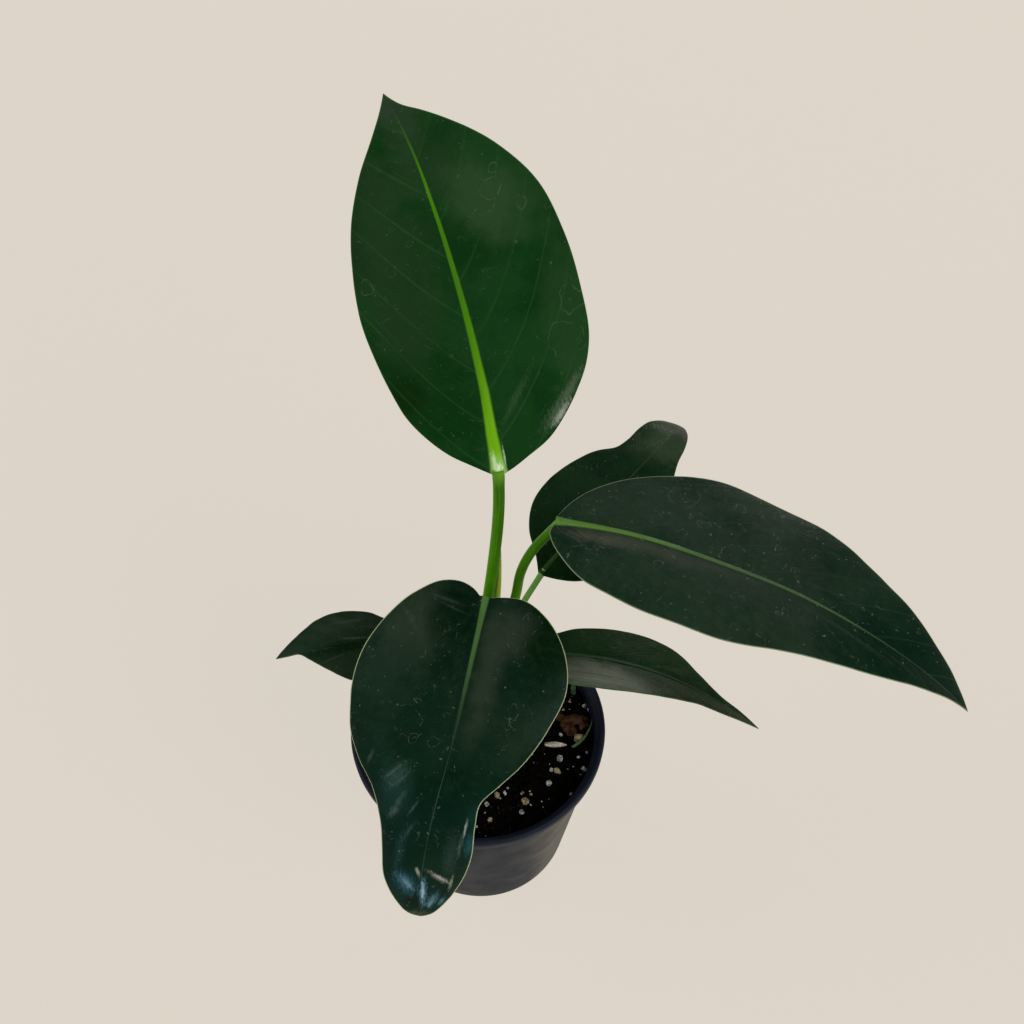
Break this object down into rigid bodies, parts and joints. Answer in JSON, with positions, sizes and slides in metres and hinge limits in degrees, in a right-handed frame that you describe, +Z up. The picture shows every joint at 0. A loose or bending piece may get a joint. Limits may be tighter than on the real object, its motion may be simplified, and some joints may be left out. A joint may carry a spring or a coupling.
{
  "type": "potted philodendron",
  "caption": "Young leafy houseplant with broad pointed leaves on upright stalks, growing from a short crown in a round tapered nursery pot of soil.",
  "frame": {"origin": "centre of the pot's underside, on the surface it stands on", "axes": "+Z up along the pot's axis; the leaf that hangs over the pot's lip is on the -Y side, the tallest leaf on the +Y side and the longest leaf reaches to +X"},
  "size_m": [0.3778, 0.2977, 0.4922],
  "materials": {
    "pot_plastic": "satin",
    "soil_mix": "matte",
    "crown_brown_green": "matte",
    "leaf_green": "satin",
    "leaf_green_bright": "satin",
    "stalk_green": "satin",
    "bark": "matte",
    "pale_wood": "matte",
    "grass": "satin"
  },
  "bodies": {
    "root": {"pot": "pot_plastic", "soil": "soil_mix", "crown": "crown_brown_green", "blade_back_tall": "leaf_green_bright", "blade_right_long": "leaf_green", "blade_front_hanging": "leaf_green", "blade_left_small": "leaf_green", "blade_right_low": "leaf_green", "blade_back_right": "leaf_green", "stalk_back_tall": "stalk_green", "stalk_right_long": "stalk_green", "stalk_front_hanging": "stalk_green", "stalk_left_small": "stalk_green", "stalk_right_low": "stalk_green", "stalk_back_right": "stalk_green", "leaf_spear": "stalk_green", "bark_chip": "bark", "bark_crumb": "bark", "wood_sliver": "pale_wood", "grass_blade": "grass", "seedling": "grass"}
  },
  "joints": []
}
